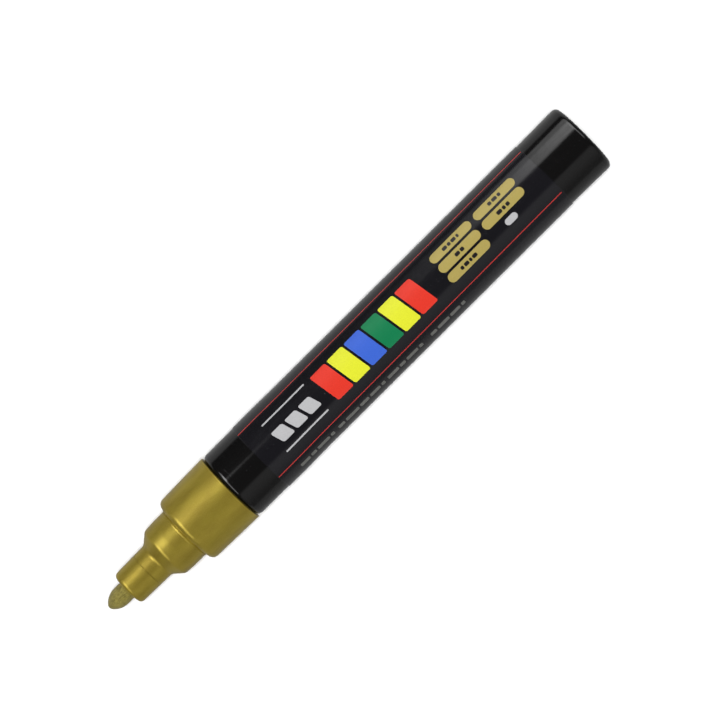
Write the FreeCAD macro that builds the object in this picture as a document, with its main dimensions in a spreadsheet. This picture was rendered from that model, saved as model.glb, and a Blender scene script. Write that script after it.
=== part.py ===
import FreeCAD, Part
import math
import os
import re
import Sketcher

# A valve-action paint marker with its cap off, in millimetres.
#
# Every piece is turned about the pen's axis.  A "station" is a distance along that axis, measured
# from the tip of the nib towards the closed tail.  Each body is drawn with the nib's tip at its own
# origin, and its Placement moves it to the marker's frame: the pen lies along X on the plane Z = 0,
# nib towards -X, with the origin under the middle of its length.
#
# Paint runs from the barrel through the spring retainer and the valve into the front section.
# Pressing the nib pushes the valve stem back off its rubber seat, and the spring closes it again.

SIZES = [
    ("overall_length", 127.1, "nib tip to closed tail"),

    ("nib_radius", 2.0, "bullet nib, a 4 mm rod rounded at both ends"),
    ("nib_length", 28.0, "whole rod"),
    ("nib_point_length", 3.1, "station where the rounded point meets the rod"),
    ("nib_point_curve", 3.7, "radius of the point's side arc"),

    ("nose_front", 4.9, "front face of the nose"),
    ("nose_front_radius", 3.66, "nose at its front face"),
    ("nose_edge", 0.85, "rounding of the nose's front edge"),
    ("parting_line", 10.26, "fine ring where the mould halves meet"),
    ("parting_radius", 3.76, "nose beside the parting line"),
    ("parting_width", 0.14, "width of that ring"),
    ("parting_depth", 0.05, "depth of that ring"),
    ("cone_front", 12.91, "corner between nose and cone"),
    ("cone_front_radius", 3.8, "nose at that corner"),
    ("cone_rear", 14.96, "corner between cone and cap seat"),
    ("cone_rear_radius", 5.56, "cone at that corner"),
    ("cone_rounding", 1.2, "rounding of both cone corners"),
    ("seat_front", 17.2, "start of the straight cap seat"),
    ("seat_radius", 5.72, "cap seat"),
    ("shoulder", 20.45, "front face of the collar"),
    ("collar_front_radius", 7.46, "collar at its front face"),
    ("collar_edge", 1.2, "rounding of the collar's front edge"),
    ("collar_rear", 32.4, "rear face of the collar"),
    ("collar_rear_radius", 7.73, "collar at its rear face"),
    ("collar_rear_edge", 0.15, "rounding of the collar's rear edge"),

    ("skirt_radius", 6.35, "part of the front section inside the barrel"),
    ("skirt_rear", 43.6, "rear end of the skirt"),
    ("bead_width", 0.9, "sealing bead on the skirt"),
    ("bead_height", 0.14, "how far the bead stands out"),
    ("front_bead", 36.0, "station of the first sealing bead"),
    ("rear_bead", 39.5, "station of the second sealing bead"),
    ("nib_bore_radius", 2.06, "hole that guides the nib"),
    ("vent_radius", 2.5, "floor of the air grooves in that hole"),
    ("vent_width", 0.7, "width of an air groove"),
    ("vent_count", 6, "air grooves round the nib"),
    ("chamber_front", 15.4, "front of the wad's chamber"),
    ("chamber_radius", 4.3, "wad's chamber"),
    ("chamber_rear", 26.0, "rear of the wad's chamber"),
    ("valve_bore_radius", 5.3, "bore that takes the valve housing"),

    ("wad_gap", 0.2, "space at each end of the wad"),
    ("wad_radius", 4.22, "fibre wad round the nib"),
    ("wad_bore_radius", 2.05, "hole through the wad"),

    ("barrel_mouth", 32.45, "open front end of the barrel"),
    ("mouth_edge", 1.1, "rounding of the barrel's mouth"),
    ("barrel_front_radius", 7.63, "barrel behind its mouth"),
    ("taper_front", 45.0, "start of the slight taper to the waist"),
    ("taper_rear", 52.0, "end of that taper"),
    ("barrel_waist_radius", 7.55, "barrel under most of the label"),
    ("barrel_tail_radius", 7.68, "barrel at its closed end"),
    ("tail_edge", 1.0, "rounding of the closed end"),
    ("bore_radius", 6.4, "inside of the barrel"),
    ("tail_wall", 1.4, "thickness of the closed end"),

    ("label_front", 40.6, "front edge of the label"),
    ("label_rear", 116.6, "rear edge of the label"),
    ("label_thickness", 0.15, "film and its adhesive"),
    ("adhesive_gap", 0.01, "left between the film and the barrel"),

    ("housing_radius", 5.25, "valve housing in its bore"),
    ("housing_bore_radius", 4.3, "inside of the valve housing"),
    ("housing_front_gap", 0.1, "space in front of the valve housing"),
    ("flange_radius", 6.25, "rear flange of the valve housing"),
    ("flange_rear", 44.4, "rear face of that flange"),
    ("port_wall_front", 30.4, "front of the wall that holds the seat"),
    ("port_wall_rear", 31.6, "rear of that wall"),
    ("port_radius", 1.6, "hole through that wall"),

    ("gasket_rear", 32.6, "rear face of the rubber seat"),
    ("gasket_radius", 4.25, "outside of the rubber seat"),
    ("gasket_bore_radius", 1.65, "hole through the rubber seat"),

    ("push_pin_radius", 1.2, "front pin of the stem, pushed by the nib"),
    ("head_radius", 2.7, "sealing head of the stem"),
    ("head_rear", 34.2, "rear face of that head"),
    ("head_edge", 0.3, "rounding of the head"),
    ("guide_pin_radius", 1.0, "rear pin of the stem"),
    ("guide_pin_rear", 42.4, "rear end of that pin"),
    ("guide_pin_chamfer", 0.25, "lead-in of that pin"),

    ("spring_radius", 1.75, "middle of the spring's wire"),
    ("wire_radius", 0.2, "spring wire"),
    ("spring_turns", 7, "turns of the spring"),
    ("spring_end_gap", 0.02, "left at each end of the spring"),

    ("retainer_front", 41.0, "front face of the spring retainer"),
    ("retainer_rear", 42.8, "rear face of the spring retainer"),
    ("retainer_radius", 4.25, "outside of the spring retainer"),
    ("retainer_bore_radius", 1.08, "hole that guides the stem"),
    ("window_inner_radius", 2.3, "inside of the paint windows"),
    ("window_outer_radius", 3.5, "outside of the paint windows"),
    ("window_half_angle", 34, "degrees each side of a window's middle"),
    ("window_count", 4, "paint windows"),

    ("ball_radius", 3.0, "mixing ball"),
    ("ball_clearance", 0.05, "left under the ball"),
    ("ball_station", 96.0, "where the ball lies at rest"),
]


def fill_sheet(doc):
    """Put the driving dimensions into a sheet, one alias a row."""
    sheet = doc.addObject("Spreadsheet::Sheet", "Sizes")
    for row, (alias, size, meaning) in enumerate(SIZES, start=1):
        sheet.set(f"A{row}", meaning)
        sheet.set(f"B{row}", str(size))
        sheet.setAlias(f"B{row}", alias)
    doc.recompute()
    return sheet


def bound(text):
    """Turn a formula in plain aliases into one that reads the sheet."""
    return re.sub(r"\b[a-z_]+\b(?!\()", r"Sizes.\g<0>", text)


def number(owner, text):
    """Work out a formula in plain aliases, as a number."""
    result = owner.evalExpression(bound(text))
    return float(getattr(result, "Value", result))


def new_body(doc, label):
    """Start a body whose origin is the nib's tip, placed in the marker's frame."""
    body = doc.addObject("PartDesign::Body", f"{label}_body")
    body.Label = label
    body.setExpression("Placement.Base.x", bound("-overall_length / 2"))
    body.setExpression("Placement.Base.z", bound("barrel_front_radius + label_thickness"))
    return body


def origin_feature(body, role):
    return next(item for item in body.Origin.OriginFeatures if item.Role == role)


def arc_between(start, end, radius):
    """An arc from start to end, bulging to the left of that direction if radius is positive."""
    middle = (start + end) * 0.5
    chord = end - start
    left = FreeCAD.Vector(-chord.y, chord.x, 0).normalize()
    side = math.copysign(1, radius)
    sagitta = abs(radius) - math.sqrt(radius ** 2 - (chord.Length / 2) ** 2)
    return Part.Arc(start, middle + left * sagitta * side, end)


def end_of(sketch, index, place):
    """Which end of a sketch line or arc lies at a place: 1 for its start, 2 for its end."""
    nearest = min((1, 2), key=lambda end: sketch.getPoint(index, end).distanceToPoint(place))
    return nearest


def draw_outline(body, name, plane, outline):
    """Draw a closed outline whose corners are bound to the sheet.

    A corner is (across, up) or (across, up, radius), in plain aliases.  A radius makes the side
    that leaves the corner an arc, which bulges to the left if the radius is positive."""
    sketch = body.newObject("Sketcher::SketchObject", name)
    sketch.AttachmentSupport = [(origin_feature(body, plane), "")]
    sketch.MapMode = "FlatFace"
    places = [FreeCAD.Vector(number(body, across), number(body, up), 0) for across, up, *_ in outline]
    count = len(outline)
    for index, corner in enumerate(outline):
        start, end = places[index], places[(index + 1) % count]
        if len(corner) == 3:
            sketch.addGeometry(arc_between(start, end, number(body, corner[2])))
        else:
            sketch.addGeometry(Part.LineSegment(start, end))
    for index, (across, up, *radius) in enumerate(outline):
        before = (index - 1) % count
        here = end_of(sketch, index, places[index])
        there = end_of(sketch, before, places[index])
        sketch.addConstraint(Sketcher.Constraint("Coincident", before, there, index, here))
        for kind, text, start in (("DistanceX", across, places[index].x), ("DistanceY", up, places[index].y)):
            row = sketch.addConstraint(Sketcher.Constraint(kind, -1, 1, index, here, start))
            sketch.setExpression(f"Constraints[{row}]", bound(text))
        if radius:
            size = abs(number(body, radius[0]))
            row = sketch.addConstraint(Sketcher.Constraint("Radius", index, size))
            sketch.setExpression(f"Constraints[{row}]", f"abs({bound(radius[0])})")
    return sketch


def turn(body, name, outline, cut=False):
    """Turn an outline of (station, radius) corners about the pen's axis, to add or to cut."""
    sketch = draw_outline(body, f"{name}_outline", "XZ_Plane", outline)
    before = body.Shape.Volume if cut else 0
    feature = body.newObject("PartDesign::Groove" if cut else "PartDesign::Revolution", name)
    feature.Profile = sketch
    feature.ReferenceAxis = (sketch, ["H_Axis"])
    feature.Angle = 360
    body.Document.recompute()
    if cut and not feature.Shape.Volume < before:
        raise RuntimeError(f"{name} cuts nothing")
    return feature


def round_edges(body, name, places, radius):
    """Round the circular edges at the given (station, radius) places."""
    base = body.Tip
    chosen = []
    for station, across in places:
        middle = FreeCAD.Vector(number(body, station), 0, 0)
        across = number(body, across)
        for index, edge in enumerate(base.Shape.Edges, start=1):
            circle = edge.Curve
            if isinstance(circle, Part.Circle) and circle.Center.isEqual(middle, 1e-4):
                if abs(circle.Radius - across) < 1e-4:
                    chosen.append(f"Edge{index}")
    if len(chosen) < len(places):
        raise RuntimeError(f"{name} found {len(chosen)} edges")
    fillet = body.newObject("PartDesign::Fillet", name)
    fillet.Base = (base, chosen)
    fillet.setExpression("Radius", bound(radius))
    body.Document.recompute()
    return fillet


def cut_round_axis(body, name, outline, front, depth, count):
    """Pocket an outline in the YZ plane from a station towards the tail, repeated about the axis."""
    sketch = draw_outline(body, f"{name}_outline", "YZ_Plane", outline)
    sketch.setExpression("AttachmentOffset.Base.z", bound(front))
    body.Document.recompute()
    before = body.Shape.Volume
    pocket = body.newObject("PartDesign::Pocket", name)
    pocket.Profile = sketch
    pocket.Reversed = True
    pocket.setExpression("Length", bound(depth))
    body.Document.recompute()
    single = before - pocket.Shape.Volume
    pattern = body.newObject("PartDesign::PolarPattern", f"{name}_round_axis")
    pattern.Originals = [pocket]
    pattern.Axis = (origin_feature(body, "X_Axis"), [""])
    pattern.Angle = 360
    pattern.setExpression("Occurrences", bound(count))
    body.Tip = pattern
    body.Document.recompute()
    expected = single * number(body, count)
    if not math.isclose(before - pattern.Shape.Volume, expected, rel_tol=1e-3):
        raise RuntimeError(f"{name} is not cut {count} times")
    return pattern


def make_nib(doc):
    """A rod with the same rounded point at both ends, so that it can be turned round."""
    body = new_body(doc, "nib")
    side_drop = "(nib_point_curve - nib_radius)"
    tip_radius = (
        f"((nib_point_curve ^ 2 - nib_point_length ^ 2 - {side_drop} ^ 2)"
        " / (2 * (nib_point_curve - nib_point_length)))"
    )
    reach = f"(nib_point_curve / (nib_point_curve - {tip_radius}))"
    blend_station = f"(nib_point_length - (nib_point_length - {tip_radius}) * {reach})"
    blend_radius = f"({side_drop} * ({reach} - 1))"
    turn(body, "nib_rod", [
        ("0", "0", tip_radius),
        (blend_station, blend_radius, "nib_point_curve"),
        ("nib_point_length", "nib_radius"),
        ("nib_length - nib_point_length", "nib_radius", "nib_point_curve"),
        (f"nib_length - {blend_station}", blend_radius, tip_radius),
        ("nib_length", "0"),
    ])
    return body


def make_front_section(doc):
    """One moulding: stepped nose, cone, cap seat, collar and the skirt that seals in the barrel."""
    body = new_body(doc, "front_section")
    turn(body, "front_outside", [
        ("nose_front", "0"),
        ("nose_front", "nose_front_radius"),
        ("parting_line", "parting_radius"),
        ("cone_front", "cone_front_radius"),
        ("cone_rear", "cone_rear_radius"),
        ("seat_front", "seat_radius"),
        ("shoulder", "seat_radius"),
        ("shoulder", "collar_front_radius"),
        ("collar_rear", "collar_rear_radius"),
        ("collar_rear", "skirt_radius"),
        ("skirt_rear", "skirt_radius"),
        ("skirt_rear", "0"),
    ])
    round_edges(body, "nose_rounding", [("nose_front", "nose_front_radius")], "nose_edge")
    cone_corners = [("cone_front", "cone_front_radius"), ("cone_rear", "cone_rear_radius")]
    round_edges(body, "cone_roundings", cone_corners, "cone_rounding")
    round_edges(body, "collar_rounding", [("shoulder", "collar_front_radius")], "collar_edge")
    collar_rear_corner = [("collar_rear", "collar_rear_radius")]
    round_edges(body, "collar_rear_rounding", collar_rear_corner, "collar_rear_edge")
    turn(body, "parting_ring", [
        ("parting_line - parting_width / 2", "parting_radius - parting_depth"),
        ("parting_line - parting_width / 2", "parting_radius + parting_depth"),
        ("parting_line + parting_width / 2", "parting_radius + parting_depth"),
        ("parting_line + parting_width / 2", "parting_radius - parting_depth"),
    ], cut=True)
    for bead in ("front_bead", "rear_bead"):
        turn(body, f"sealing_{bead}", bead_outline(bead, "skirt_radius", "bead_width"))
    turn(body, "front_bore", [
        ("nose_front", "0"),
        ("nose_front", "nib_bore_radius"),
        ("chamber_front", "nib_bore_radius"),
        ("chamber_front", "chamber_radius"),
        ("chamber_rear", "chamber_radius"),
        ("chamber_rear", "valve_bore_radius"),
        ("skirt_rear", "valve_bore_radius"),
        ("skirt_rear", "0"),
    ], cut=True)
    cut_round_axis(body, "air_groove", [
        ("-vent_width / 2", "nib_bore_radius / 2"),
        ("vent_width / 2", "nib_bore_radius / 2"),
        ("vent_width / 2", "vent_radius"),
        ("-vent_width / 2", "vent_radius"),
    ], "nose_front", "chamber_front - nose_front", "vent_count")
    return body


def bead_outline(station, surface, width):
    """A low round bead, or the groove for it, on a surface of the given radius."""
    bulge = f"(({width} / 2) ^ 2 + bead_height ^ 2) / (2 * bead_height)"
    return [
        (f"{station} - {width} / 2", f"{surface} - bead_height"),
        (f"{station} - {width} / 2", surface, bulge),
        (f"{station} + {width} / 2", surface),
        (f"{station} + {width} / 2", f"{surface} - bead_height"),
    ]


def make_ink_wad(doc):
    """Sleeve of packed fibre round the nib that buffers the paint."""
    body = new_body(doc, "ink_wad")
    turn(body, "wad_sleeve", [
        ("chamber_front + wad_gap", "wad_bore_radius"),
        ("chamber_front + wad_gap", "wad_radius"),
        ("chamber_rear - wad_gap", "wad_radius"),
        ("chamber_rear - wad_gap", "wad_bore_radius"),
    ])
    ends = [("chamber_front + wad_gap", "wad_radius"), ("chamber_rear - wad_gap", "wad_radius")]
    round_edges(body, "wad_roundings", ends, "wad_gap")
    return body


def make_barrel(doc):
    """Tube with a closed, rounded tail and grooves for the front section's beads."""
    body = new_body(doc, "barrel")
    turn(body, "barrel_outside", [
        ("barrel_mouth", "0"),
        ("barrel_mouth", "barrel_front_radius"),
        ("taper_front", "barrel_front_radius"),
        ("taper_rear", "barrel_waist_radius"),
        ("label_rear", "barrel_waist_radius"),
        ("overall_length", "barrel_tail_radius"),
        ("overall_length", "0"),
    ])
    round_edges(body, "mouth_rounding", [("barrel_mouth", "barrel_front_radius")], "mouth_edge")
    round_edges(body, "tail_rounding", [("overall_length", "barrel_tail_radius")], "tail_edge")
    turn(body, "barrel_bore", [
        ("barrel_mouth", "0"),
        ("barrel_mouth", "bore_radius"),
        ("overall_length - tail_wall", "bore_radius"),
        ("overall_length - tail_wall", "0"),
    ], cut=True)
    for bead in ("front_bead", "rear_bead"):
        outline = bead_outline(bead, "bore_radius", "(bead_width + bead_height)")
        turn(body, f"groove_for_{bead}", outline, cut=True)
    return body


def make_label_film(doc):
    """Printed film wrapped round the barrel."""
    body = new_body(doc, "label_film")
    turn(body, "film", [
        ("label_front", "barrel_front_radius + adhesive_gap"),
        ("label_front", "barrel_front_radius + label_thickness"),
        ("taper_front", "barrel_front_radius + label_thickness"),
        ("taper_rear", "barrel_waist_radius + label_thickness"),
        ("label_rear", "barrel_waist_radius + label_thickness"),
        ("label_rear", "barrel_waist_radius + adhesive_gap"),
        ("taper_rear", "barrel_waist_radius + adhesive_gap"),
        ("taper_front", "barrel_front_radius + adhesive_gap"),
    ])
    return body


def make_valve_housing(doc):
    """Tube with a ported wall inside and a flange that stops against the skirt."""
    body = new_body(doc, "valve_housing")
    turn(body, "housing_outside", [
        ("chamber_rear + housing_front_gap", "0"),
        ("chamber_rear + housing_front_gap", "housing_radius"),
        ("skirt_rear", "housing_radius"),
        ("skirt_rear", "flange_radius"),
        ("flange_rear", "flange_radius"),
        ("flange_rear", "0"),
    ])
    turn(body, "housing_front_bore", [
        ("chamber_rear + housing_front_gap", "0"),
        ("chamber_rear + housing_front_gap", "housing_bore_radius"),
        ("port_wall_front", "housing_bore_radius"),
        ("port_wall_front", "0"),
    ], cut=True)
    turn(body, "valve_port", [
        ("port_wall_front", "0"),
        ("port_wall_front", "port_radius"),
        ("port_wall_rear", "port_radius"),
        ("port_wall_rear", "0"),
    ], cut=True)
    turn(body, "housing_rear_bore", [
        ("port_wall_rear", "0"),
        ("port_wall_rear", "housing_bore_radius"),
        ("flange_rear", "housing_bore_radius"),
        ("flange_rear", "0"),
    ], cut=True)
    return body


def make_valve_seat(doc):
    """Rubber ring that the stem's head closes on."""
    body = new_body(doc, "valve_seat")
    turn(body, "gasket", [
        ("port_wall_rear", "gasket_bore_radius"),
        ("port_wall_rear", "gasket_radius"),
        ("gasket_rear", "gasket_radius"),
        ("gasket_rear", "gasket_bore_radius"),
    ])
    return body


def make_valve_stem(doc):
    """Push pin, sealing head and guide pin in one moulding."""
    body = new_body(doc, "valve_stem")
    turn(body, "stem", [
        ("nib_length", "0"),
        ("nib_length", "push_pin_radius"),
        ("gasket_rear", "push_pin_radius"),
        ("gasket_rear", "head_radius"),
        ("head_rear", "head_radius"),
        ("head_rear", "guide_pin_radius"),
        ("guide_pin_rear - guide_pin_chamfer", "guide_pin_radius"),
        ("guide_pin_rear", "guide_pin_radius - guide_pin_chamfer"),
        ("guide_pin_rear", "0"),
    ])
    round_edges(body, "head_rounding", [("head_rear", "head_radius")], "head_edge")
    return body


def make_valve_spring(doc):
    """Compression spring between the stem's head and the retainer."""
    body = new_body(doc, "valve_spring")
    sketch = body.newObject("Sketcher::SketchObject", "wire_section")
    sketch.AttachmentSupport = [(origin_feature(body, "XZ_Plane"), "")]
    sketch.MapMode = "FlatFace"
    first = "head_rear + spring_end_gap + wire_radius"
    last = "retainer_front - spring_end_gap - wire_radius"
    middle = FreeCAD.Vector(number(body, first), number(body, "spring_radius"), 0)
    normal = FreeCAD.Vector(0, 0, 1)
    sketch.addGeometry(Part.Circle(middle, normal, number(body, "wire_radius")))
    for kind, text, start in (("DistanceX", first, middle.x), ("DistanceY", "spring_radius", middle.y)):
        row = sketch.addConstraint(Sketcher.Constraint(kind, -1, 1, 0, 3, start))
        sketch.setExpression(f"Constraints[{row}]", bound(text))
    row = sketch.addConstraint(Sketcher.Constraint("Radius", 0, number(body, "wire_radius")))
    sketch.setExpression(f"Constraints[{row}]", bound("wire_radius"))
    coil = body.newObject("PartDesign::AdditiveHelix", "coil")
    coil.Profile = sketch
    coil.ReferenceAxis = (sketch, ["H_Axis"])
    coil.Mode = "height-turns-angle"
    coil.setExpression("Height", bound(f"{last} - ({first})"))
    coil.setExpression("Turns", bound("spring_turns"))
    return body


def make_spring_retainer(doc):
    """Disc that backs the spring, guides the stem and lets paint through its windows."""
    body = new_body(doc, "spring_retainer")
    turn(body, "retainer_disc", [
        ("retainer_front", "retainer_bore_radius"),
        ("retainer_front", "retainer_radius"),
        ("retainer_rear", "retainer_radius"),
        ("retainer_rear", "retainer_bore_radius"),
    ])
    side = "sin(window_half_angle)"
    along = "cos(window_half_angle)"
    cut_round_axis(body, "paint_window", [
        (f"window_inner_radius * {side}", f"window_inner_radius * {along}"),
        (f"window_outer_radius * {side}", f"window_outer_radius * {along}", "-window_outer_radius"),
        (f"-window_outer_radius * {side}", f"window_outer_radius * {along}"),
        (f"-window_inner_radius * {side}", f"window_inner_radius * {along}", "window_inner_radius"),
    ], "retainer_front", "retainer_rear - retainer_front", "window_count")
    return body


def make_mixing_ball(doc):
    """Loose steel ball on the bottom of the barrel's bore."""
    ball = doc.addObject("Part::Sphere", "mixing_ball_sphere")
    ball.Label = "mixing_ball"
    ball.setExpression("Radius", bound("ball_radius"))
    drop = "bore_radius - ball_radius - ball_clearance"
    ball.setExpression("Placement.Base.x", bound("ball_station - overall_length / 2"))
    ball.setExpression("Placement.Base.z", bound(f"barrel_front_radius + label_thickness - ({drop})"))
    return ball


MAKERS = [
    make_barrel,
    make_label_film,
    make_front_section,
    make_nib,
    make_ink_wad,
    make_valve_housing,
    make_valve_seat,
    make_valve_stem,
    make_valve_spring,
    make_spring_retainer,
    make_mixing_ball,
]


def check(doc, pieces):
    """Stop if any object failed or any piece isn't one valid solid."""
    for item in doc.Objects:
        if "Invalid" in item.State or "Error" in item.State:
            raise RuntimeError(f"{item.Label} is {item.State}")
    for piece in pieces:
        shape = piece.Shape
        if shape.isNull() or not shape.isValid() or len(shape.Solids) != 1:
            raise RuntimeError(f"{piece.Label} is not one valid solid")


def main():
    os.makedirs("parts", exist_ok=True)
    doc = FreeCAD.newDocument("paint_marker")
    fill_sheet(doc)
    pieces = [make(doc) for make in MAKERS]
    doc.recompute()
    check(doc, pieces)
    for piece in pieces:
        piece.Shape.exportStep(f"parts/{piece.Label}.step")
        box = piece.Shape.BoundBox
        print(f"{piece.Label}: {piece.Shape.Volume:.1f} mm3, x {box.XMin:.2f} to {box.XMax:.2f}")


main()
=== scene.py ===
import bmesh
import bpy
import math
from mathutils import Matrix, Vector, noise


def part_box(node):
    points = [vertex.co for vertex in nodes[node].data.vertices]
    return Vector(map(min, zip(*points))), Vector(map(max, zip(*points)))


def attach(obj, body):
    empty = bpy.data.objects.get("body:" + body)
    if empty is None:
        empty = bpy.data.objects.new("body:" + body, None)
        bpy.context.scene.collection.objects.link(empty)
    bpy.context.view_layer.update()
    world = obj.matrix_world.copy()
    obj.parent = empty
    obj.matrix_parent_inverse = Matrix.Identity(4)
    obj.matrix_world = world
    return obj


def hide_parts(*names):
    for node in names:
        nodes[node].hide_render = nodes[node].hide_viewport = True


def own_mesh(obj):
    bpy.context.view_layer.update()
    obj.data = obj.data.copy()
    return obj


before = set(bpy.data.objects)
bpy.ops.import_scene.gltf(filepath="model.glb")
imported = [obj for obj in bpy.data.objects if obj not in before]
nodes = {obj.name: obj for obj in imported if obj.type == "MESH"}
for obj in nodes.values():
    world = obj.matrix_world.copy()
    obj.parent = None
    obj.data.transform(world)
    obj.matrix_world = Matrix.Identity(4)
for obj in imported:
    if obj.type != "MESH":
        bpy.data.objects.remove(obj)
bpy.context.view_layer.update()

# The looks of an uncapped paint marker that lies on a pale floor, label up.
#
# Lengths below are in millimetres and become metres in place() and paper().  A station is a distance
# from the nib's tip towards the closed tail.  An angle about the pen's axis is measured from
# straight up, positive towards -Y.

MM = 0.001
NIB_LOW, NIB_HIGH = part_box("nib")
TIP_X = NIB_LOW.x
AXIS_Z = (NIB_LOW.z + NIB_HIGH.z) / 2


def station_of(x):
    """Station of a place along X, in millimetres."""
    return (x - TIP_X) / MM


def half_height(node):
    """Outer radius of a round CAD node, in millimetres."""
    low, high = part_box(node)
    return (high.z - low.z) / 2 / MM


# Places read from the frame
NIB_REAR = station_of(NIB_HIGH.x)
NIB_RADIUS = half_height("nib")
NOSE_FRONT, SKIRT_REAR = (station_of(corner.x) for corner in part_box("front_section"))
MOUTH, TAIL = (station_of(corner.x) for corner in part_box("barrel"))
LABEL_FRONT, LABEL_REAR = (station_of(corner.x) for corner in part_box("label_film"))
SPRING_FRONT, SPRING_REAR = (station_of(corner.x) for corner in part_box("valve_spring"))

# Driving dimensions of the front section
NOSE_FRONT_RADIUS = 3.66
PARTING_LINE = 10.26
PARTING_RADIUS = 3.76
CONE_FRONT = 12.91
CONE_FRONT_RADIUS = 3.8
CONE_REAR = 14.96
CONE_REAR_RADIUS = 5.56
SEAT_FRONT = 17.2
SEAT_RADIUS = 5.72
SHOULDER = 20.45
COLLAR_FRONT_RADIUS = 7.46
COLLAR_REAR = 32.4
COLLAR_REAR_RADIUS = half_height("front_section")
SKIRT_RADIUS = 6.35
NIB_BORE_RADIUS = 2.06
VENT_RADIUS = 2.5
VENT_WIDTH = 0.7
VENT_COUNT = 6
CHAMBER_FRONT = 15.4
CHAMBER_REAR = 26.0
CHAMBER_RADIUS = 4.3
VALVE_BORE_RADIUS = 5.3

# Driving dimensions of the barrel and its label
BARREL_FRONT_RADIUS = 7.63
BARREL_WAIST_RADIUS = 7.55
BARREL_TAIL_RADIUS = 7.68
BORE_RADIUS = 6.4
TAIL_WALL = 1.4
RING = 34.37
RING_DEPTH = 0.02
TAPER_FRONT = 45.0
TAPER_REAR = 52.0
FILM_CLEARANCE = 0.005
FILM_RADIUS_FRONT = half_height("label_film") - FILM_CLEARANCE
FILM_RADIUS = FILM_RADIUS_FRONT - (BARREL_FRONT_RADIUS - BARREL_WAIST_RADIUS)
FILM_OVERLAP = 0.02
FILM_SKEW = 0.08

# The print on the label: line angles in degrees, and a twist in degrees for each millimetre of length
PRINT_RADIUS = FILM_RADIUS - FILM_OVERLAP
PRINT_THICKNESS = 0.016
PRINT_LEFT_LINE = -52.2
PRINT_RIGHT_LINE = 38.75
PRINT_TWIST = -0.0611
PRINT_MIDDLE = 78.5
CUT_ALONG = 1.0
CUT_AROUND = 0.4

# Points round a turned piece
ROUND = 288


def place(station, radius, angle):
    """A place on the pen in metres: station and radius are in millimetres, the angle in radians."""
    x = TIP_X + station * MM
    return Vector((x, -radius * math.sin(angle) * MM, AXIS_Z + radius * math.cos(angle) * MM))


# ---------------------------------------------------------------- outlines and turned pieces

def rounded(corners, steps=8, support=0.06):
    """Turn (station, radius, rounding) corners into points, each rounding an arc.

    Support points beside each arc keep the shading of the faces next to it straight."""
    points = []
    count = len(corners)
    for index, (x, r, rounding) in enumerate(corners):
        here = Vector((x, r))
        if rounding == 0:
            points.append(here)
            continue
        before = (Vector(corners[index - 1][:2]) - here).normalized()
        after = (Vector(corners[(index + 1) % count][:2]) - here).normalized()
        turn = math.pi - before.angle(after)
        reach = rounding * math.tan(turn / 2)
        centre = here + (before + after).normalized() * (rounding / math.cos(turn / 2))
        start = here + before * reach
        side = 1 if (start - centre).cross(here - centre) > 0 else -1
        points.append(start + before * support)
        for step in range(steps + 1):
            angle = side * turn * step / steps
            arm = start - centre
            cosine, sine = math.cos(angle), math.sin(angle)
            points.append(centre + Vector((arm.x * cosine - arm.y * sine, arm.x * sine + arm.y * cosine)))
        points.append(here + after * (reach + support))
    return points


def turned(name, outline, shape=None, around=ROUND, sharp=35):
    """Turn a closed outline of (station, radius) points about the axis into a closed mesh.

    shape(point number, angle, station, radius) may move a point as it goes round."""
    shape = shape or (lambda number, angle, station, radius: (station, radius))
    built = bmesh.new()
    rings = []
    for number, (station, radius) in enumerate(outline):
        if radius < 1e-6:
            rings.append([built.verts.new(place(station, 0, 0))])
            continue
        ring = []
        for step in range(around):
            angle = 2 * math.pi * step / around
            ring.append(built.verts.new(place(*shape(number, angle, station, radius), angle)))
        rings.append(ring)
    for number, ring in enumerate(rings):
        following = rings[(number + 1) % len(rings)]
        join_rings(built, ring, following)
    return finish_mesh(name, built, sharp)


def join_rings(built, ring, following):
    """Fill the band between two rings of points, either of which may be one point on the axis."""
    around = max(len(ring), len(following))
    if around == 1:
        return
    for step in range(around):
        after = (step + 1) % around
        corners = [ring[step % len(ring)], ring[after % len(ring)]]
        corners += [following[after % len(following)], following[step % len(following)]]
        unique = list(dict.fromkeys(corners))
        built.faces.new(unique)


def finish_mesh(name, built, sharp=35):
    """Make an object of a bmesh, smooth apart from edges sharper than the given degrees."""
    bmesh.ops.recalc_face_normals(built, faces=built.faces)
    mesh = bpy.data.meshes.new(name)
    built.to_mesh(mesh)
    built.free()
    mesh.shade_smooth()
    mesh.set_sharp_from_angle(angle=math.radians(sharp))
    piece = bpy.data.objects.new(name, mesh)
    bpy.context.scene.collection.objects.link(piece)
    return piece


def dress(piece, body, finish, slot, *replaced):
    """Give a piece its material and body, and let it stand for CAD nodes; the slot argument is not used.
    """
    piece.data.materials.append(finish)
    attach(piece, body)
    if replaced:
        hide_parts(*replaced)
    return piece


# ---------------------------------------------------------------- materials

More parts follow.
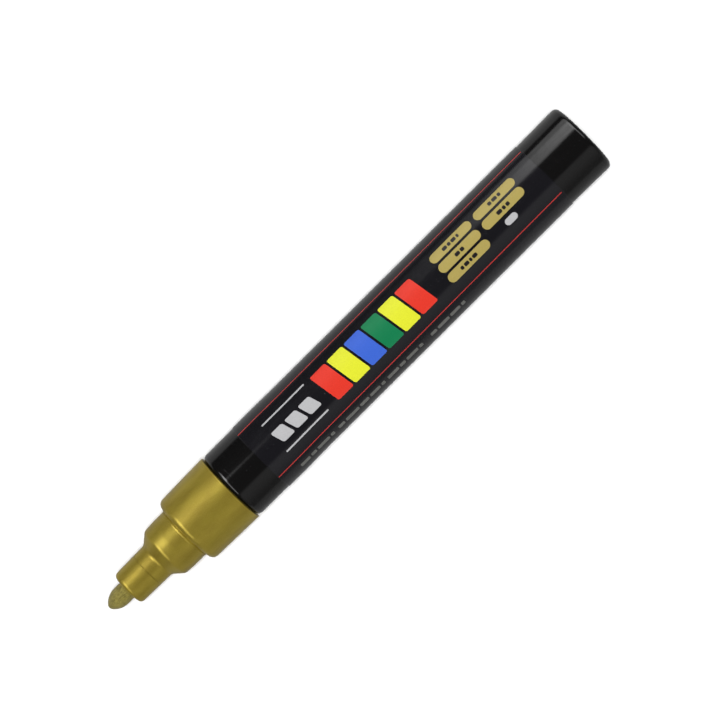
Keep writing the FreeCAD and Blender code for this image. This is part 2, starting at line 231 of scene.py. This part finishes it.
class Finish:
    """A node material with the few helpers that the finishes below share.

    The colour and roughness it starts from are what shows where nothing is linked to them."""

    def __init__(self, name, colour, roughness, **inputs):
        self.material = bpy.data.materials.new(name)
        self.material.use_nodes = True
        self.tree = self.material.node_tree
        self.shader = self.tree.nodes["Principled BSDF"]
        self.shader.inputs["Base Color"].default_value = (*colour, 1)
        self.shader.inputs["Roughness"].default_value = roughness
        for socket, setting in inputs.items():
            self.shader.inputs[socket.replace("_", " ")].default_value = setting
        self.coordinates = self.tree.nodes.new("ShaderNodeTexCoord").outputs["Object"]

    def link(self, source, target):
        """Join an output socket to an input socket."""
        self.tree.links.new(source, target)

    def mapped(self, stretch):
        """Object coordinates, scaled by a different amount along each axis."""
        mapping = self.tree.nodes.new("ShaderNodeMapping")
        mapping.inputs["Scale"].default_value = stretch
        self.link(self.coordinates, mapping.inputs["Vector"])
        return mapping.outputs["Vector"]

    def noise(self, size, detail=2, stretch=(1, 1, 1)):
        """Noise whose grain is about size millimetres."""
        texture = self.tree.nodes.new("ShaderNodeTexNoise")
        texture.inputs["Scale"].default_value = 1 / (size * MM)
        texture.inputs["Detail"].default_value = detail
        self.link(self.mapped(stretch), texture.inputs["Vector"])
        return texture.outputs["Fac"]

    def cells(self, size, output="Color"):
        """Cells about size millimetres across."""
        texture = self.tree.nodes.new("ShaderNodeTexVoronoi")
        texture.inputs["Scale"].default_value = 1 / (size * MM)
        self.link(self.mapped((1, 1, 1)), texture.inputs["Vector"])
        return texture.outputs[output]

    def ranged(self, source, low, high, start=0.0, end=1.0):
        """A value stretched from start..end to low..high."""
        scaled = self.tree.nodes.new("ShaderNodeMapRange")
        scaled.inputs["From Min"].default_value = start
        scaled.inputs["From Max"].default_value = end
        scaled.inputs["To Min"].default_value = low
        scaled.inputs["To Max"].default_value = high
        self.link(source, scaled.inputs["Value"])
        return scaled.outputs["Result"]

    def mixed(self, factor, first, second):
        """A colour between two colours."""
        mix = self.tree.nodes.new("ShaderNodeMix")
        mix.data_type = "RGBA"
        self.link(factor, mix.inputs["Factor"])
        for socket, colour in (("A", first), ("B", second)):
            target = [item for item in mix.inputs if item.name == socket and item.type == "RGBA"][0]
            if isinstance(colour, tuple):
                target.default_value = (*colour, 1)
            else:
                self.link(colour, target)
        return [item for item in mix.outputs if item.type == "RGBA"][0]

    def bump(self, height, depth):
        """Relief whose full height is depth millimetres, laid over any relief already there."""
        node = self.tree.nodes.new("ShaderNodeBump")
        node.inputs["Distance"].default_value = depth * MM
        node.inputs["Strength"].default_value = 1
        self.link(height, node.inputs["Height"])
        normal = self.shader.inputs["Normal"]
        if normal.is_linked:
            self.link(normal.links[0].from_socket, node.inputs["Normal"])
        self.link(node.outputs["Normal"], normal)

    def set(self, socket, source):
        """Drive one of the shader's inputs."""
        self.link(source, self.shader.inputs[socket])

    def two_tone(self, texture, low, high, start=0.3, end=0.7):
        """A colour that goes from low to high as a texture goes from start to end."""
        return self.mixed(self.ranged(texture, 0, 1, start, end), low, high)


def black_plastic():
    """Polished black moulding with faint flow marks and handling scuffs."""
    finish = Finish("black_plastic", (0.0047, 0.0045, 0.0045), 0.2, IOR=1.49)
    scuffs = finish.noise(0.35, 6, (0.12, 1, 1))
    finish.set("Roughness", finish.ranged(scuffs, 0.11, 0.17, 0.35, 0.75))
    finish.bump(finish.noise(2.2, 1), 0.003)
    finish.bump(finish.noise(0.12, 3), 0.0005)
    return finish.material


def film_plastic():
    """Satin black printed film, a little wavy where it hugs the barrel."""
    finish = Finish("film_plastic", (0.0078, 0.0075, 0.0095), 0.27, IOR=1.5)
    scuffs = finish.noise(0.8, 3, (0.4, 1, 1))
    finish.set("Roughness", finish.ranged(scuffs, 0.15, 0.20, 0.35, 0.75))
    finish.bump(finish.noise(6.0, 1, (0.5, 1, 1)), 0.005)
    finish.bump(finish.noise(0.09, 2), 0.0003)
    return finish.material


def gold_plastic():
    """Moulding pigmented with gold pearl: a broad soft sheen with fine flakes in it."""
    finish = Finish("gold_plastic", (0.37, 0.275, 0.032), 0.36, Metallic=0.6, IOR=1.5)
    flakes = finish.cells(0.11)
    cloud = finish.noise(2.5, 3, (0.4, 1, 1))
    grain = finish.noise(0.1, 2)
    plain = finish.two_tone(cloud, (0.31, 0.225, 0.024), (0.40, 0.305, 0.036))
    glitter = finish.ranged(grain, 0, 0.5, 0.45, 0.8)
    finish.set("Base Color", finish.mixed(glitter, plain, (0.56, 0.45, 0.10)))
    finish.set("Roughness", finish.ranged(flakes, 0.30, 0.42))
    finish.bump(grain, 0.0012)
    finish.bump(finish.noise(1.6, 1), 0.004)
    return finish.material


def nib_fibre():
    """Bonded fibre soaked in gold paint: streaks along the rod, blotches and specks of pigment."""
    finish = Finish("nib_fibre", (0.19, 0.165, 0.045), 0.75, Sheen_Weight=0.1, Sheen_Roughness=0.5)
    streaks = finish.noise(0.10, 4, (0.1, 1, 1))
    blotches = finish.noise(0.6, 3)
    specks = finish.cells(0.07, output="Distance")
    stained = finish.two_tone(blotches, (0.095, 0.076, 0.011), (0.225, 0.186, 0.032))
    drawn = finish.ranged(streaks, 0, 0.8, 0.4, 0.7)
    finish.set("Base Color", finish.mixed(drawn, stained, (0.32, 0.275, 0.06)))
    finish.set("Roughness", finish.ranged(specks, 0.45, 0.9, 0.0, 0.5))
    finish.bump(streaks, 0.03)
    finish.bump(specks, 0.02)
    return finish.material


def ink(name, colour):
    """Screen-printed ink with a faint mottle and its own slight relief."""
    finish = Finish(name, colour, 0.32, IOR=1.45)
    mottle = finish.noise(0.22, 3)
    darker = tuple(channel * 0.9 for channel in colour)
    finish.set("Base Color", finish.two_tone(mottle, darker, colour))
    finish.bump(mottle, 0.002)
    return finish.material


def natural_plastic():
    """Unpigmented white moulding that lets a little light in."""
    finish = Finish("natural_plastic", (0.80, 0.80, 0.76), 0.42, Subsurface_Weight=0.15)
    finish.shader.inputs["Subsurface Scale"].default_value = 0.6 * MM
    stain = finish.noise(1.2, 4)
    finish.set("Base Color", finish.two_tone(stain, (0.82, 0.82, 0.78), (0.66, 0.60, 0.38), 0.5, 0.75))
    finish.bump(finish.noise(0.15, 2), 0.002)
    return finish.material


def wad_fibre():
    """Packed fibre, stained by the paint that passes through it."""
    finish = Finish("wad_fibre", (0.5, 0.42, 0.18), 0.9, Sheen_Weight=0.3)
    strands = finish.noise(0.16, 5, (0.35, 1, 1))
    finish.set("Base Color", finish.two_tone(strands, (0.30, 0.24, 0.08), (0.66, 0.58, 0.32)))
    finish.bump(strands, 0.09)
    return finish.material


def seat_rubber():
    """Soft black rubber with a dull, fine-grained skin."""
    finish = Finish("seat_rubber", (0.03, 0.03, 0.03), 0.7)
    grain = finish.noise(0.08, 3)
    finish.set("Roughness", finish.ranged(grain, 0.6, 0.85))
    finish.bump(grain, 0.006)
    return finish.material


def bright_steel(name, rough_low, rough_high):
    """Steel with fine marks from drawing or tumbling."""
    finish = Finish(name, (0.62, 0.61, 0.59), rough_low, Metallic=1.0)
    marks = finish.noise(0.06, 4)
    finish.set("Roughness", finish.ranged(marks, rough_low, rough_high, 0.3, 0.7))
    finish.bump(marks, 0.0008)
    return finish.material


# ---------------------------------------------------------------- the gold front section

def vent_shape(bore_points):
    """Sink the air grooves into the points of the outline that lie on the nib's bore."""
    half = math.asin(VENT_WIDTH / 2 / NIB_BORE_RADIUS)
    pitch = 2 * math.pi / VENT_COUNT

    def shape(number, angle, station, radius):
        off = abs((angle + pitch / 2) % pitch - pitch / 2)
        if number in bore_points and off < half:
            return station, VENT_RADIUS
        return station, radius

    return shape


def make_front_section():
    """Nose, cone, cap seat and collar in one moulding, hollow for the nib, wad and valve."""
    line_half, line_depth, line_lip = 0.07, 0.05, 0.004
    bore_chamfer = 0.12
    ridge, seat_drop = 0.06, 0.03
    seat_low = SEAT_RADIUS - seat_drop
    corners = [
        (NOSE_FRONT, NIB_BORE_RADIUS + bore_chamfer, 0),
        (NOSE_FRONT, NOSE_FRONT_RADIUS, 0.85),
        (PARTING_LINE - line_half, PARTING_RADIUS - line_lip, 0.02),
        (PARTING_LINE, PARTING_RADIUS - line_depth, 0.02),
        (PARTING_LINE + line_half, PARTING_RADIUS + line_lip, 0.02),
        (CONE_FRONT, CONE_FRONT_RADIUS, 1.2),
        (CONE_REAR, CONE_REAR_RADIUS, 1.2),
        (SEAT_FRONT, SEAT_RADIUS, 2.0),
        (SHOULDER - 0.66, SEAT_RADIUS, 0.1),
        (SHOULDER - 0.42, SEAT_RADIUS + ridge, 0.1),
        (SHOULDER - 0.2, seat_low, 0.05),
        (SHOULDER, seat_low, 0.05),
        (SHOULDER, COLLAR_FRONT_RADIUS, 1.2),
        (COLLAR_REAR, COLLAR_REAR_RADIUS, 0.15),
        (COLLAR_REAR, SKIRT_RADIUS, 0),
        (SKIRT_REAR, SKIRT_RADIUS, 0.1),
        (SKIRT_REAR, VALVE_BORE_RADIUS, 0.1),
        (CHAMBER_REAR, VALVE_BORE_RADIUS, 0),
        (CHAMBER_REAR, CHAMBER_RADIUS, 0),
        (CHAMBER_FRONT, CHAMBER_RADIUS, 0),
        (CHAMBER_FRONT, NIB_BORE_RADIUS, 0),
        (NOSE_FRONT + bore_chamfer, NIB_BORE_RADIUS, 0),
    ]
    outline = rounded(corners)
    bore_points = {len(outline) - 2, len(outline) - 1}
    return turned("front_moulding", outline, vent_shape(bore_points))


# ---------------------------------------------------------------- barrel and label

def make_barrel():
    """Black tube with a rounded mouth, a fine ring behind it, and a closed tail with a moulding gate."""
    gate_radius, gate_depth, gate_slope = 1.1, 0.18, 0.1
    pip_radius, pip_slope = 0.3, 0.05
    ring_sides = (0.1, 0.14, 0.2)
    corners = [
        (MOUTH, BORE_RADIUS, 0.15),
        (MOUTH, BARREL_FRONT_RADIUS, 1.1),
        *((RING - side, BARREL_FRONT_RADIUS, 0) for side in reversed(ring_sides)),
        (RING, BARREL_FRONT_RADIUS - RING_DEPTH, 0),
        *((RING + side, BARREL_FRONT_RADIUS, 0) for side in ring_sides),
        (TAPER_FRONT, BARREL_FRONT_RADIUS, 6.0),
        (TAPER_REAR, BARREL_WAIST_RADIUS, 6.0),
        (LABEL_REAR, BARREL_WAIST_RADIUS, 0),
        (TAIL, BARREL_TAIL_RADIUS, 1.0),
        (TAIL, gate_radius, 0.1),
        (TAIL - gate_depth, gate_radius - gate_slope, 0.05),
        (TAIL - gate_depth, pip_radius + pip_slope, 0.03),
        (TAIL - gate_depth / 2, pip_radius, 0.05),
        (TAIL - gate_depth / 2, 0, 0),
        (TAIL - TAIL_WALL, 0, 0),
        (TAIL - TAIL_WALL, BORE_RADIUS, 0.8),
    ]
    return turned("barrel_shell", rounded(corners))


def film_radius(station):
    """Outside of the label at a station: straight, a slight taper, and straight again."""
    share = min(max((station - TAPER_FRONT) / (TAPER_REAR - TAPER_FRONT), 0), 1)
    eased = share * share * (3 - 2 * share)
    return FILM_RADIUS_FRONT + (FILM_RADIUS - FILM_RADIUS_FRONT) * eased


def make_label():
    """Film with soft cut edges, a rear edge cut slightly askew, and an overlap along its underside."""
    edge, inset = 0.05, 0.12
    taper_steps = 10
    taper_length = TAPER_REAR - TAPER_FRONT
    taper = [TAPER_FRONT + taper_length * step / taper_steps for step in range(taper_steps + 1)]
    front = [LABEL_FRONT + edge, LABEL_FRONT + 2 * edge]
    rear = [LABEL_REAR - 2 * edge, LABEL_REAR - edge]
    outside = [(LABEL_FRONT, film_radius(LABEL_FRONT) - edge)]
    outside += [(station, film_radius(station)) for station in (*front, *taper, *rear)]
    outside += [(LABEL_REAR, film_radius(LABEL_REAR) - edge)]
    backwards = (LABEL_REAR, *reversed(taper), LABEL_FRONT)
    inside = [(station, film_radius(station) - inset) for station in backwards]
    overlap_half = math.radians(9)

    def shape(number, angle, station, radius):
        if station > TAPER_REAR + 1:
            station -= FILM_SKEW * (1 - math.sin(angle))
        lapped = abs(angle - math.pi) < overlap_half and number < len(outside)
        return station, radius if lapped else radius - FILM_OVERLAP

    return turned("label_wrap", outside + inside, shape)


def paper(station, around, height, layer):
    """Wrap a flat printed point, in millimetres, on the film."""
    angle = math.radians(PRINT_TWIST * (station - PRINT_MIDDLE)) + around / PRINT_RADIUS
    radius = film_radius(station) - FILM_OVERLAP + layer * PRINT_THICKNESS + height
    return place(station, radius, angle)


def flat_print(name, loops):
    """Fill closed outlines of (station, distance round) points as a thin flat bmesh."""
    curve = bpy.data.curves.new(name, "CURVE")
    curve.dimensions = "2D"
    curve.fill_mode = "BOTH"
    curve.extrude = PRINT_THICKNESS / 2
    for loop in loops:
        spline = curve.splines.new("POLY")
        spline.points.add(len(loop) - 1)
        for point, (station, around) in zip(spline.points, loop):
            point.co = (station, around, 0, 1)
        spline.use_cyclic_u = True
    drawn = bpy.data.objects.new(name + "_flat", curve)
    bpy.context.scene.collection.objects.link(drawn)
    flat = bpy.data.meshes.new_from_object(drawn.evaluated_get(bpy.context.evaluated_depsgraph_get()))
    built = bmesh.new()
    built.from_mesh(flat)
    bpy.data.objects.remove(drawn)
    bpy.data.curves.remove(curve)
    bpy.data.meshes.remove(flat)
    bmesh.ops.remove_doubles(built, verts=built.verts, dist=1e-4)
    return built


def cut_print(built, axis, normal, pitch):
    """Cut a flat print at even steps along one axis, so that it can bend."""
    values = [vert.co[axis] for vert in built.verts]
    cut = math.ceil(min(values) / pitch) * pitch
    while cut < max(values):
        whole = [*built.verts, *built.edges, *built.faces]
        bmesh.ops.bisect_plane(built, geom=whole, dist=1e-5, plane_co=normal * cut, plane_no=normal)
        cut += pitch


def printed(name, loops, layer):
    """Print outlines on the label as a thin raised layer; layer 1 lies on top of layer 0."""
    built = flat_print(name, loops)
    cut_print(built, 0, Vector((1, 0, 0)), CUT_ALONG)
    cut_print(built, 1, Vector((0, 1, 0)), CUT_AROUND)
    for vert in built.verts:
        vert.co = paper(vert.co.x, vert.co.y, vert.co.z, layer)
    return finish_mesh(name, built)


def bar(middle, around, length, width, rounding=None, lean=0.0):
    """Outline of a bar along the pen with rounded corners, leaning if its ends slope."""
    rounding = min(length, width) / 2 if rounding is None else rounding
    arc_steps = 6
    points = []
    for corner, (sx, sy) in enumerate(((1, 1), (-1, 1), (-1, -1), (1, -1))):
        for step in range(arc_steps + 1):
            angle = math.pi / 2 * (corner + step / arc_steps)
            x = sx * (length / 2 - rounding) + rounding * math.cos(angle)
            y = sy * (width / 2 - rounding) + rounding * math.sin(angle)
            points.append((middle + x + lean * y, around + y))
    return points


def arc_length(degrees):
    """Distance round the film of an angle from the print's middle line."""
    return math.radians(degrees) * PRINT_RADIUS


def red_lines():
    """Two thin lines along the whole label."""
    front_gap, rear_gap, width = 0.05, 0.35, 0.2
    length = LABEL_REAR - LABEL_FRONT - front_gap - rear_gap
    middle = (LABEL_FRONT + LABEL_REAR + front_gap - rear_gap) / 2
    angles = (PRINT_LEFT_LINE, PRINT_RIGHT_LINE)
    return [bar(middle, arc_length(angle), length, width, 0.05) for angle in angles]


def slanted(middle, around, length, width, lean):
    """Outline of a block whose ends slope, with rounded corners."""
    return bar(middle, around, length, width, 0.42, lean)


def grey_block():
    """Two rules with three slanted blocks between them."""
    rules = [bar(50.76, arc_length(angle), 11.15, 0.34, 0.05) for angle in (-33.0, 18.5)]
    blocks = [slanted(station, arc_length(-4.4), 2.9, 2.9, 0.3) for station in (47.22, 50.81, 54.40)]
    return rules + blocks


def dash_row(start, around, lengths, width, gap):
    """Outlines of plain dashes in a row that starts at a station."""
    row = []
    for length in lengths:
        row.append(bar(start + length / 2, around, length, width, 0.25))
        start += length + gap
    return row


def small_print():
    """A line of plain dashes low on the label, in four groups."""
    middle, width, gap = arc_length(55.8375), 0.95, 0.42
    groups = (
        (45.12, (2.4, 1.3, 3.1, 0.9)),
        (55.21, (1.6, 3.4, 2.2, 2.6, 0.9)),
        (68.39, (2.8, 1.4, 2.9, 0.9)),
        (79.87, (1.5, 2.9, 2.5, 0.9)),
    )
    dashes = []
    for start, lengths in groups:
        dashes += dash_row(start, middle, lengths, width, gap)
    return dashes


def coloured_blocks():
    """Outlines of six slanted blocks in a row, by colour."""
    first, pitch = 60.43, 4.508
    blocks = {"red": [], "yellow": [], "blue": [], "green": []}
    for number, colour in enumerate(("red", "yellow", "blue", "green", "yellow", "red")):
        blocks[colour].append(slanted(first + pitch * number, arc_length(-6.6), 4.0, 7.1, 0.16))
    return blocks


def gold_bars():
    """Five round-ended bars: three abreast, and two abreast behind them."""
    length, width = 10.5, 2.04
    bars = [bar(94.73, arc_length(angle), length, width) for angle in (-26.2, -7.0, 12.1)]
    bars += [bar(106.24, arc_length(angle), length, width) for angle in (-25.5, -6.3)]
    return bars


def dark_dashes():
    """A short row of dashes in the middle of each gold bar."""
    rows = (
        (92.6, -26.2, (1.1, 0.7, 1.1, 0.55)),
        (93.6, -7.0, (1.1, 0.85)),
        (92.6, 12.1, (0.7, 1.1, 0.55, 1.1)),
        (104.66, -25.5, (0.8, 1.2, 0.7)),
        (104.66, -6.3, (1.2, 0.7, 0.8)),
    )
    width, gap = 0.75, 0.25
    dashes = []
    for start, angle, lengths in rows:
        dashes += dash_row(start, arc_length(angle), lengths, width, gap)
    return dashes


def lozenge():
    """One round-ended block beside the gold bars."""
    return [bar(105.96, arc_length(12.6), 2.9, 1.4)]


def make_label_print():
    """All that is printed on the label, one piece for each ink."""
    red, blue = (0.72, 0.038, 0.021), (0.045, 0.127, 0.60)
    green, yellow = (0.006, 0.19, 0.07), (0.72, 0.75, 0.031)
    line_red, grey, dim_grey = (0.50, 0.032, 0.03), (0.46, 0.46, 0.47), (0.13, 0.13, 0.12)
    gold, dark = (0.40, 0.32, 0.09), (0.012, 0.010, 0.012)
    blocks = coloured_blocks()
    prints = [
        ("print_red_lines", red_lines(), "ink_red", ink("ink_line_red", line_red), 0),
        ("print_red_blocks", blocks["red"], "ink_red", ink("ink_red", red), 0),
        ("print_blue_block", blocks["blue"], "ink_blue", ink("ink_blue", blue), 0),
        ("print_green_block", blocks["green"], "ink_green", ink("ink_green", green), 0),
        ("print_yellow_blocks", blocks["yellow"], "ink_yellow", ink("ink_yellow", yellow), 0),
        ("print_grey_blocks", grey_block() + lozenge(), "ink_grey", ink("ink_grey", grey), 0),
        ("print_small_dashes", small_print(), "ink_grey", ink("ink_dim_grey", dim_grey), 0),
        ("print_gold_bars", gold_bars(), "ink_gold", ink("ink_gold", gold), 0),
        ("print_dark_bars", dark_dashes(), "ink_black", ink("ink_dark", dark), 1),
    ]
    for name, loops, slot, finish, layer in prints:
        dress(printed(name, loops, layer), "marker", finish, slot)


# ---------------------------------------------------------------- nib and spring

def nib_point():
    """Outline of the nib's point: a blunt tip that blends into longer curved sides."""
    length, curve = 3.1, 3.7
    drop = curve - NIB_RADIUS
    tip = (curve ** 2 - length ** 2 - drop ** 2) / (2 * (curve - length))
    blend = math.atan2(drop, length - tip)
    tip_steps, side_steps = 12, 26
    points = []
    for step in range(tip_steps + 1):
        angle = blend * step / tip_steps
        points.append((tip - tip * math.cos(angle), tip * math.sin(angle)))
    for step in range(1, side_steps + 1):
        angle = blend + (math.pi / 2 - blend) * step / side_steps
        points.append((length - curve * math.cos(angle), curve * math.sin(angle) - drop))
    return points


def fibre_wear(number, angle, station, radius):
    """Sink fine strands that run along the rod, and softer lumps, into its surface."""
    strand_depth, lump_depth = 0.028, 0.02
    y, z = math.cos(angle) * radius, math.sin(angle) * radius
    strands = noise.noise(Vector((station * 0.35, y * 5.5, z * 5.5)))
    lumps = noise.noise(Vector((station * 1.3, y * 1.3, z * 1.3)))
    wear = strand_depth * (0.5 + 0.5 * strands) + lump_depth * (0.5 + 0.5 * lumps)
    return station, radius - wear * min(radius, 1)


def make_nib():
    """Fibre rod with the same rounded point at both ends."""
    front = nib_point()
    point_length = front[-1][0]
    rear = [(NIB_REAR - station, radius) for station, radius in reversed(front)]
    shank_steps = 40
    shank = NIB_REAR - 2 * point_length
    sides = [(point_length + shank * step / shank_steps, NIB_RADIUS) for step in range(1, shank_steps)]
    return turned("nib_felt", front + sides + rear, fibre_wear, around=192, sharp=80)


def make_spring():
    """Coil spring with one closed turn at each end."""
    wire_radius, coil_radius, turns, closed = 0.2, 1.75, 8.0, 1.0
    steps_per_turn, ring_steps = 48, 12
    closed_pitch = 2 * wire_radius * 1.02
    front, rear = SPRING_FRONT + wire_radius, SPRING_REAR - wire_radius
    open_length = rear - front - 2 * closed_pitch * closed
    steps = int(turns * steps_per_turn)
    built = bmesh.new()
    rings = []
    for step in range(steps + 1):
        turn = turns * step / steps
        open_share = min(max((turn - closed) / (turns - 2 * closed), 0), 1)
        lead = closed_pitch * min(turn, closed) + closed_pitch * max(turn - (turns - closed), 0)
        station = front + lead + open_length * open_share
        angle = 2 * math.pi * turn
        ring = []
        for side in range(ring_steps):
            around = 2 * math.pi * side / ring_steps
            radius = coil_radius + wire_radius * math.cos(around)
            ring.append(built.verts.new(place(station + wire_radius * math.sin(around), radius, angle)))
        rings.append(ring)
    for ring, following in zip(rings, rings[1:]):
        join_rings(built, ring, following)
    built.faces.new(rings[0])
    built.faces.new(rings[-1])
    return finish_mesh("coil_spring", built)


def squash_spring(spring):
    """Give the spring its own copy of its mesh."""
    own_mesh(spring)


# ---------------------------------------------------------------- floor, lights and camera

# Brightness of the overhead light, and a lamp's watts for each square metre and unit of brightness
KEY_RADIANCE = 104.0
POWER_SCALE = 4

# Brightness of the surroundings: what fills the shadows, what the camera sees, and the dark room
FILL_LIGHT = 0.2
BACKDROP = 0.9
DARK_ROOM = 0.02


def make_floor():
    """Plain pale floor under the pen."""
    size = 3.0
    mesh = bpy.data.meshes.new("floor")
    corners = [(-size, -size, 0), (size, -size, 0), (size, size, 0), (-size, size, 0)]
    mesh.from_pydata(corners, [], [(0, 1, 2, 3)])
    floor = bpy.data.objects.new("floor", mesh)
    bpy.context.scene.collection.objects.link(floor)
    floor.visible_glossy = False
    finish = Finish("floor_paint", (0.95, 0.95, 0.95), 0.9)
    finish.shader.inputs["Specular IOR Level"].default_value = 0.1
    finish.bump(finish.noise(3.0, 2), 0.01)
    mesh.materials.append(finish.material)


def area_light(name, place_at, size, radiance, glossy):
    """Softbox at a place, facing the pen: seen in reflections, or lighting surfaces softly."""
    light = bpy.data.lights.new(name, "AREA")
    light.shape = "RECTANGLE"
    light.size, light.size_y = size
    light.energy = radiance * size[0] * size[1] * POWER_SCALE
    lamp = bpy.data.objects.new(name, light)
    lamp.location = place_at
    facing = Vector((place_at[0], 0, AXIS_Z)) - Vector(place_at)
    lamp.rotation_euler = facing.to_track_quat("-Z", "Y").to_euler()
    lamp.visible_glossy = glossy
    lamp.visible_diffuse = not glossy
    bpy.context.scene.collection.objects.link(lamp)
    return lamp


def beside(x, distance, degrees):
    """A place off the pen's +Y side, at a distance and an angle from straight up."""
    angle = math.radians(degrees)
    return x, distance * math.sin(angle), AXIS_Z + distance * math.cos(angle)


def make_lights():
    """Soft light from above, and softboxes round the pen that only reflections show."""
    area_light("overhead_soft", (0, 0, 1.6), (0.25, 0.25), KEY_RADIANCE, False)
    area_light("rear_softbox_wide", beside(0.23, 0.5, 58), (0.42, 0.42), 0.14, True)
    area_light("rear_softbox", beside(0.27, 0.49, 56), (0.40, 0.46), 1.15, True)
    area_light("rear_softbox_middle", beside(0.28, 0.48, 50), (0.40, 0.26), 1.5, True)
    area_light("front_strip_narrow", beside(-0.235, 0.5, 24.5), (0.35, 0.055), 0.9, True)
    area_light("front_strip", beside(-0.33, 0.49, 31), (0.34, 0.18), 3.2, True)
    end_light("nib_end_softbox", (-0.35, 0.12, 0.38), (0.2, 0.8), 2.0)
    end_light("tail_end_softbox", (0.38, 0.11, 0.38), (0.2, 0.3), 1.6)


def end_light(name, place_at, size, radiance):
    """Softbox off one end of the pen, tipped towards it, that only reflections show."""
    lamp = area_light(name, place_at, size, radiance, True)
    facing = Vector((0, 0, AXIS_Z)) - lamp.location
    lamp.rotation_euler = facing.to_track_quat("-Z", "X").to_euler()


def make_world():
    """The studio round the pen: an even fill, and in reflections a dim room over a grey table."""
    world = bpy.data.worlds.new("studio")
    world.use_nodes = True
    bpy.context.scene.world = world
    tree = world.node_tree
    direction = tree.nodes.new("ShaderNodeSeparateXYZ")
    tree.links.new(tree.nodes.new("ShaderNodeTexCoord").outputs["Generated"], direction.inputs[0])
    path = tree.nodes.new("ShaderNodeLightPath")

    def ranged(source, start, end, low, high):
        """A smooth change from low to high as a value goes from start to end."""
        node = tree.nodes.new("ShaderNodeMapRange")
        node.interpolation_type = "SMOOTHSTEP"
        for socket, setting in (("From Min", start), ("From Max", end), ("To Min", low), ("To Max", high)):
            node.inputs[socket].default_value = setting
        tree.links.new(source, node.inputs["Value"])
        return node.outputs["Result"]

    def mixed(factor, first, second):
        """A value between two values."""
        node = tree.nodes.new("ShaderNodeMix")
        node.data_type = "FLOAT"
        tree.links.new(factor, node.inputs[0])
        for socket, source in ((node.inputs[2], first), (node.inputs[3], second)):
            if isinstance(source, float):
                socket.default_value = source
            else:
                tree.links.new(source, socket)
        return node.outputs[0]

    panel = ranged(direction.outputs["Z"], 0.0, 0.75, 0.13, 0.36)
    room = mixed(ranged(direction.outputs["Y"], -0.60, -0.50, 1.0, 0.0), DARK_ROOM, panel)
    table = ranged(direction.outputs["Y"], -1.0, 1.0, 0.31, 0.49)
    reflected = mixed(ranged(direction.outputs["Z"], -0.21, -0.09, 1.0, 0.0), room, table)
    lit = mixed(path.outputs["Is Glossy Ray"], FILL_LIGHT, reflected)
    seen = mixed(path.outputs["Is Camera Ray"], lit, BACKDROP)
    tree.nodes["Background"].inputs["Color"].default_value = (1, 1, 1, 1)
    tree.links.new(seen, tree.nodes["Background"].inputs["Strength"])


def make_camera():
    """Straight down, rolled so that the nib points down and to the left.

    The camera stands nearer the tail than the nib, and its frame is shifted to hold the whole pen."""
    distance, frame_width, roll = 0.65, 0.1368, math.radians(-44.85)
    above, middle = Vector((17.1, -0.21)) * MM, Vector((3.39, -0.21)) * MM
    camera = bpy.data.cameras.new("camera")
    camera.sensor_width = 36.0
    camera.lens = camera.sensor_width * distance / frame_width
    camera.clip_start = 0.01
    offset = middle - above
    camera.shift_x = (offset.x * math.cos(roll) + offset.y * math.sin(roll)) / frame_width
    camera.shift_y = (offset.y * math.cos(roll) - offset.x * math.sin(roll)) / frame_width
    view = bpy.data.objects.new("camera", camera)
    view.location = (above.x, above.y, AXIS_Z + distance)
    view.rotation_euler = (0, 0, roll)
    bpy.context.scene.collection.objects.link(view)
    bpy.context.scene.camera = view


def dress_inside():
    """Give the pieces inside the pen, kept as they are in CAD, their finishes."""
    natural = natural_plastic()
    finishes = {
        "ink_wad": wad_fibre(),
        "valve_housing": natural,
        "valve_seat": seat_rubber(),
        "valve_stem": natural,
        "spring_retainer": natural,
        "mixing_ball": bright_steel("ball_steel", 0.08, 0.16),
    }
    for node, finish in finishes.items():
        nodes[node].data.materials.clear()
        nodes[node].data.materials.append(finish)


make_camera()
make_floor()
make_lights()
make_world()
dress(make_barrel(), "marker", black_plastic(), "barrel_black", "barrel")
dress(make_label(), "marker", film_plastic(), "label_film", "label_film")
dress(make_front_section(), "marker", gold_plastic(), "gold_plastic", "front_section")
dress(make_nib(), "nib", nib_fibre(), "nib_fibre", "nib")
spring = make_spring()
dress(spring, "marker", bright_steel("spring_steel", 0.18, 0.32), "spring_steel", "valve_spring")
squash_spring(spring)
dress_inside()
make_label_print()
bpy.context.scene.view_settings.view_transform = "Standard"
